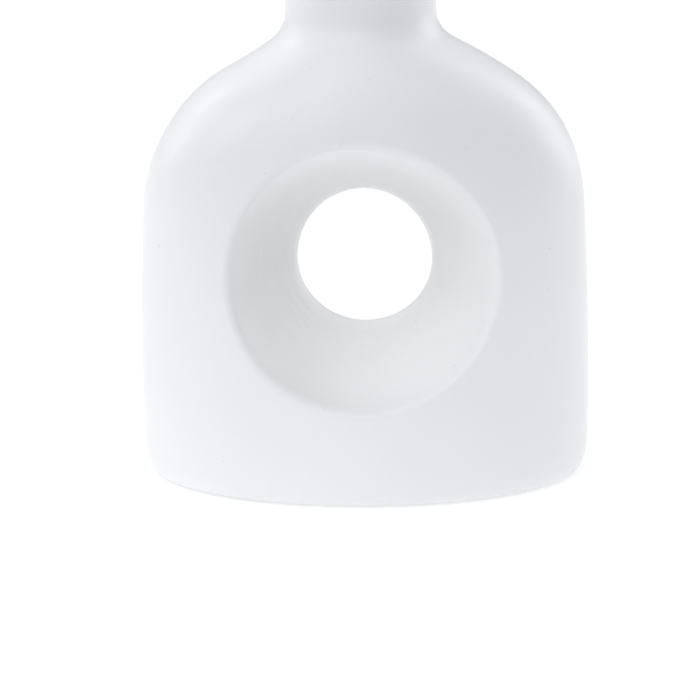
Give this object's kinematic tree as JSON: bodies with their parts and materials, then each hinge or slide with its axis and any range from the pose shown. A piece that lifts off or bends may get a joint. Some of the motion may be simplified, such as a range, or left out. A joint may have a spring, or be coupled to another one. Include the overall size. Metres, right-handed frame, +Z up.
{
  "type": "ceramic bud vase",
  "caption": "Flattened white ceramic bud vase with round shoulders, a dished round tunnel through the body, a short round neck and rubber foot pads.",
  "frame": {"origin": "on the table, below the middle of the vase: the centre of the plane that the foot pads rest on", "axes": "+Z up along the neck, +X to the right across the width, and the tunnel runs along Y with the front face towards -Y"},
  "size_m": [0.15, 0.0946, 0.1806],
  "materials": {
    "satin_glaze": "satin white glaze, foot ring left unglazed",
    "pad_rubber": "matte translucent silicone rubber"
  },
  "bodies": {
    "root": {"vase_body": "satin_glaze", "foot_pad_front_left": "pad_rubber", "foot_pad_front_right": "pad_rubber", "foot_pad_rear_left": "pad_rubber", "foot_pad_rear_right": "pad_rubber"}
  },
  "joints": []
}
